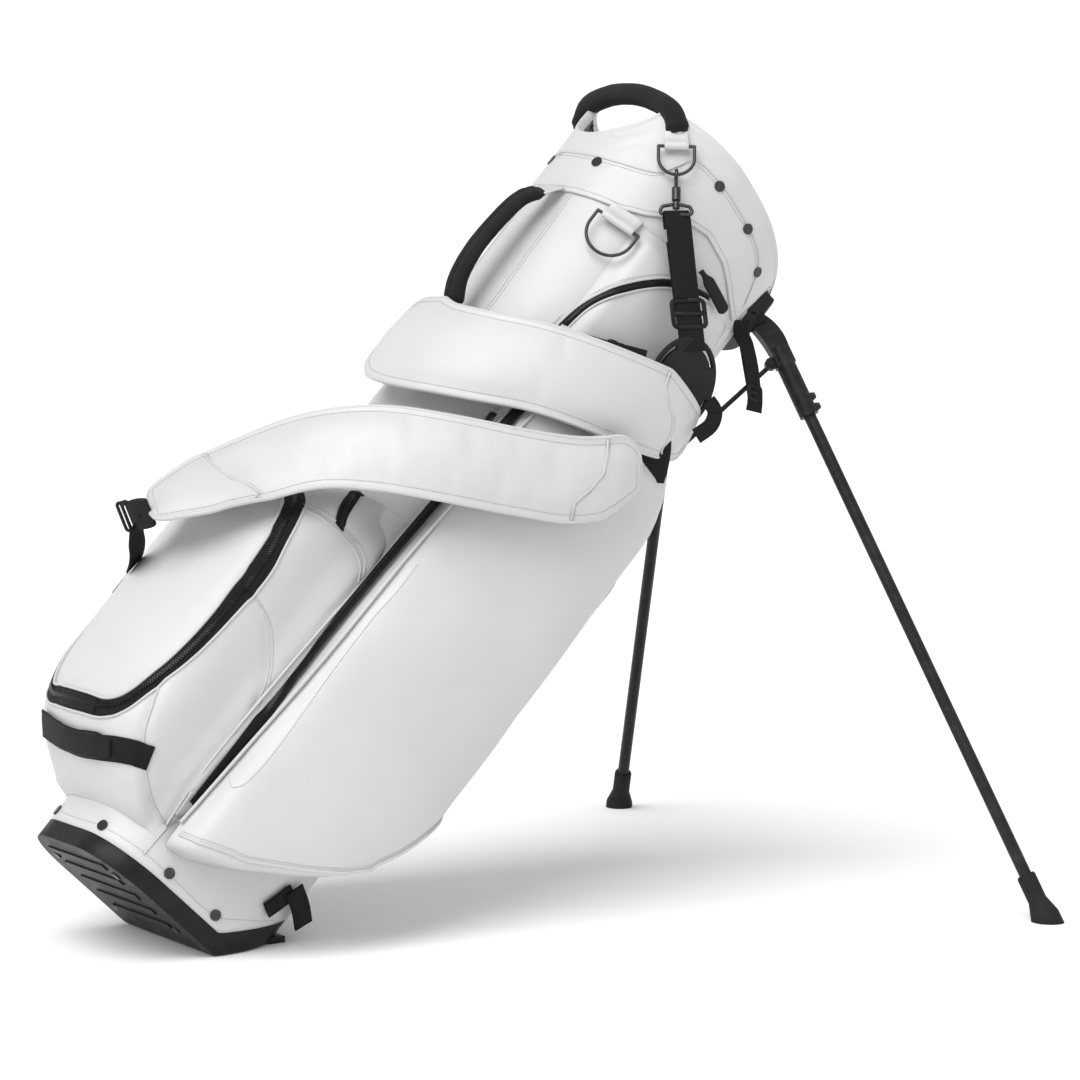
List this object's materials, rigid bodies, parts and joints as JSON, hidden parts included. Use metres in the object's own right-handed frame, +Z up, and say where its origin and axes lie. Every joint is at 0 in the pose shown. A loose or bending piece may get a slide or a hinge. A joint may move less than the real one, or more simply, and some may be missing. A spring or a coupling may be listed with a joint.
{
  "type": "golf stand bag",
  "caption": "White covered golf bag leaning on two splayed folding legs, with side and ball pockets, padded double strap, top and side handles and a divided mouth.",
  "frame": {"origin": "middle of the flat heel plate that rests on the floor, on the floor", "axes": "+Z up, +X from the heel towards the legs, +Y towards the far side of the bag"},
  "size_m": [0.8568, 0.7626, 0.7815],
  "materials": {
    "cover": "smooth satin synthetic leather",
    "grip_fabric": "fine knitted fabric over foam",
    "moulding": "fine matte grain",
    "soft_rubber": "matte",
    "black_metal": "dark satin plating",
    "leg_tube": "satin black",
    "rod_steel": "black coated",
    "webbing": "woven",
    "lining": "plain weave",
    "stay": "fibre rod"
  },
  "bodies": {
    "bag": {"bag_shell": "cover", "ball_pocket": "cover", "ball_zip_tape": "webbing", "base_cup": "moulding", "base_rivets": "black_metal", "club_divider": "moulding", "collar_cover": "cover", "collar_ring": "black_metal", "collar_ring_tab": "cover", "collar_rivets": "black_metal", "d_ring_tabs": "cover", "divider_panels": "lining", "handle_core": "rod_steel", "handle_grip": "grip_fabric", "heel_pin": "rod_steel", "heel_tab": "grip_fabric", "hip_pad": "cover", "hub_slider": "moulding", "hub_webbing": "webbing", "leg_bracket": "moulding", "leg_pins": "rod_steel", "leg_strap": "webbing", "pocket_strap": "grip_fabric", "shoulder_pad_lower": "cover", "shoulder_pad_upper": "cover", "side_handle_grip": "grip_fabric", "side_handle_tails": "webbing", "side_pocket_far": "cover", "side_pocket_near": "cover", "side_zip_tape": "webbing", "sole_plate": "moulding", "sole_screws": "black_metal", "stay_rods": "stay", "strap_buckles": "moulding", "strap_hub": "soft_rubber", "strap_webbing": "webbing", "swivel_loop": "black_metal", "top_collar": "moulding", "upper_pocket": "cover", "upper_zip_tape": "webbing"},
    "near_leg": {"leg_arm_near": "moulding", "leg_tube_near": "leg_tube", "leg_screws_near": "black_metal", "leg_foot_near": "soft_rubber"},
    "far_leg": {"leg_arm_far": "moulding", "leg_tube_far": "leg_tube", "leg_screws_far": "black_metal", "leg_foot_far": "soft_rubber"},
    "near_push_rod": {"push_rod_near": "rod_steel"},
    "far_push_rod": {"push_rod_far": "rod_steel"},
    "heel_plate": {"heel_lever": "moulding"},
    "heel_rod_pair": {"heel_rods": "rod_steel"},
    "side_slider": {"side_zip_slider": "moulding"},
    "ball_slider": {"ball_zip_slider": "moulding"},
    "zip_pull": {"upper_zip_pull": "webbing"},
    "near_ring": {"d_ring_near": "black_metal"},
    "spine_ring": {"d_ring_spine": "black_metal"},
    "hook": {"snap_hook": "black_metal"},
    "gate": {"hook_gate": "black_metal"}
  },
  "joints": [
    {"name": "near_leg_swing", "type": "hinge", "parent": "bag", "child": "near_leg", "pos_m": [0.55604, -0.065, 0.55374], "axis": [-0.3907, -0.8448, 0.3656], "range_deg": [-56, 0]},
    {"name": "far_leg_swing", "type": "hinge", "parent": "bag", "child": "far_leg", "pos_m": [0.55604, 0.065, 0.55374], "axis": [0.3907, -0.8448, -0.3656], "range_deg": [-56, 0]},
    {"name": "near_rod_turn", "type": "hinge", "parent": "near_leg", "child": "near_push_rod", "pos_m": [0.56384, -0.08709, 0.51102], "axis": [-0.3907, -0.8448, 0.3656], "range_deg": [0, 65.5]},
    {"name": "far_rod_turn", "type": "hinge", "parent": "far_leg", "child": "far_push_rod", "pos_m": [0.56384, 0.08709, 0.51102], "axis": [0.3907, -0.8448, -0.3656], "range_deg": [0, 65.5]},
    {"name": "heel_plate_swing", "type": "hinge", "parent": "bag", "child": "heel_plate", "pos_m": [-0.033, 0, 0.003], "axis": [0, 1, 0], "range_deg": [0, 30]},
    {"name": "heel_rod_slide", "type": "slide", "parent": "bag", "child": "heel_rod_pair", "axis": [0.6833, 0, 0.7302], "range_m": [-0.0295, 0]},
    {"name": "side_zip_run", "type": "slide", "parent": "bag", "child": "side_slider", "axis": [-0.68, -0.0044, -0.7332], "range_m": [0, 0.42]},
    {"name": "ball_zip_run", "type": "slide", "parent": "bag", "child": "ball_slider", "axis": [-0.6833, 0, -0.7302], "range_m": [0, 0.1]},
    {"name": "zip_pull_swing", "type": "hinge", "parent": "bag", "child": "zip_pull", "pos_m": [0.462, -0.124, 0.60046], "axis": [0.9785, 0, 0.2062], "range_deg": [-100, 0]},
    {"name": "near_ring_swing", "type": "hinge", "parent": "bag", "child": "near_ring", "pos_m": [0.38421, -0.09248, 0.65017], "axis": [0.5717, -0.6221, -0.535], "range_deg": [-100, 0]},
    {"name": "spine_ring_swing", "type": "hinge", "parent": "bag", "child": "spine_ring", "pos_m": [0.16788, 0.02876, 0.46639], "axis": [-0.2514, -0.9656, -0.0672], "range_deg": [-100, 0]},
    {"name": "hook_swivel", "type": "hinge", "parent": "bag", "child": "hook", "pos_m": [0.44118, -0.10511, 0.69342], "axis": [0.2436, 0.3558, 0.9023], "range_deg": [-15, 15]},
    {"name": "gate_press", "type": "hinge", "parent": "hook", "child": "gate", "pos_m": [0.43682, -0.11178, 0.6837], "axis": [0.8539, -0.5198, -0.0255], "range_deg": [-18, 0], "stiffness_Nm_per_rad": 0.004, "springref_deg": 5.73}
  ],
  "couplings": [
    {"joint": "far_leg_swing", "follows": "near_leg_swing", "ratio": 1},
    {"joint": "near_rod_turn", "follows": "near_leg_swing", "ratio": -1.17},
    {"joint": "far_rod_turn", "follows": "near_leg_swing", "ratio": -1.17},
    {"joint": "heel_plate_swing", "follows": "near_leg_swing", "ratio": -0.5263},
    {"joint": "heel_rod_slide", "follows": "near_leg_swing", "m_per_rad": 0.03015}
  ]
}
